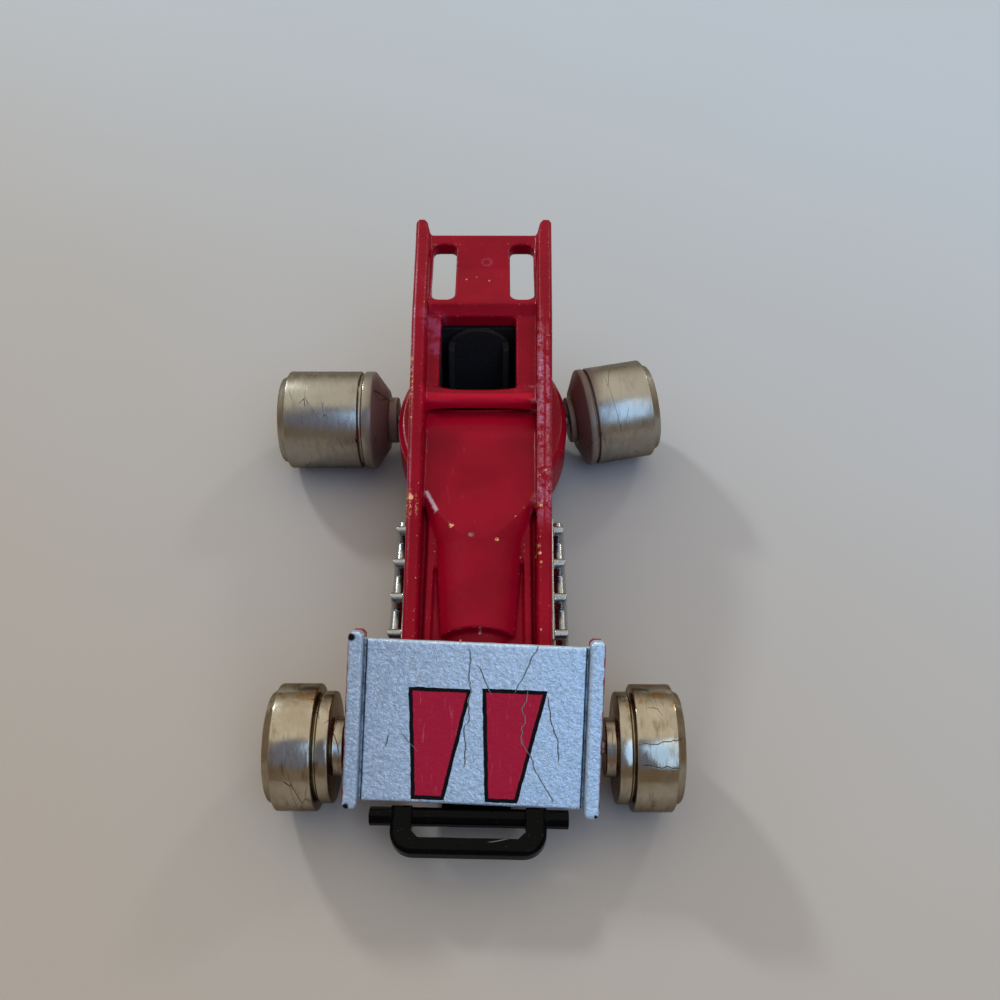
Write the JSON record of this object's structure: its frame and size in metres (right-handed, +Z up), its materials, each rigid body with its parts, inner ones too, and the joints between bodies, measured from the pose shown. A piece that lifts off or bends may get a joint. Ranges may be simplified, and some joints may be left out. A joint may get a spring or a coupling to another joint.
{
  "type": "toy sprint car",
  "caption": "Small die-cast toy sprint car: red wedge body with side rails, slanted silver front wing, black bumper loop, plated headers and bare plated wheels that roll on fixed axles.",
  "frame": {"origin": "on the ground, under the middle of the car's outline", "axes": "+Z up, -Y towards the nose, +X towards the car's left side; the wheels stand on Z = 0"},
  "size_m": [0.0426, 0.0682, 0.0198],
  "materials": {
    "red_enamel": "glossy cherry red enamel with chipped edges",
    "silver_enamel": "bluish silver paint with fine orange peel",
    "black_plastic": "moulded black plastic",
    "plated_headers": "bright plated plastic",
    "plated_wheels": "worn plated plastic with a brass tint",
    "axle_steel": "plain steel rod"
  },
  "bodies": {
    "car": {"body_casting": "red_enamel", "front_wing": "silver_enamel", "chassis_base": "black_plastic", "front_bumper": "black_plastic", "cockpit_tub": "black_plastic", "seat": "black_plastic", "headers_left": "plated_headers", "headers_right": "plated_headers", "front_axle": "axle_steel", "rear_axle": "axle_steel"},
    "front_left": {"front_left_wheel": "plated_wheels"},
    "front_right": {"front_right_wheel": "plated_wheels"},
    "rear_left": {"rear_left_wheel": "plated_wheels"},
    "rear_right": {"rear_right_wheel": "plated_wheels"}
  },
  "joints": [
    {"name": "front_left_roll", "type": "hinge", "parent": "car", "child": "front_left", "pos_m": [0.01251, -0.02471, 0.0055], "axis": [1, 0, 0], "continuous": true},
    {"name": "front_right_roll", "type": "hinge", "parent": "car", "child": "front_right", "pos_m": [-0.01019, -0.02471, 0.0055], "axis": [1, 0, 0], "continuous": true},
    {"name": "rear_left_roll", "type": "hinge", "parent": "car", "child": "rear_left", "pos_m": [0.0107, 0.01569, 0.0055], "axis": [0.9835, 0.1734, 0.0523], "continuous": true},
    {"name": "rear_right_roll", "type": "hinge", "parent": "car", "child": "rear_right", "pos_m": [-0.00829, 0.01569, 0.0055], "axis": [1, 0, 0], "continuous": true}
  ]
}
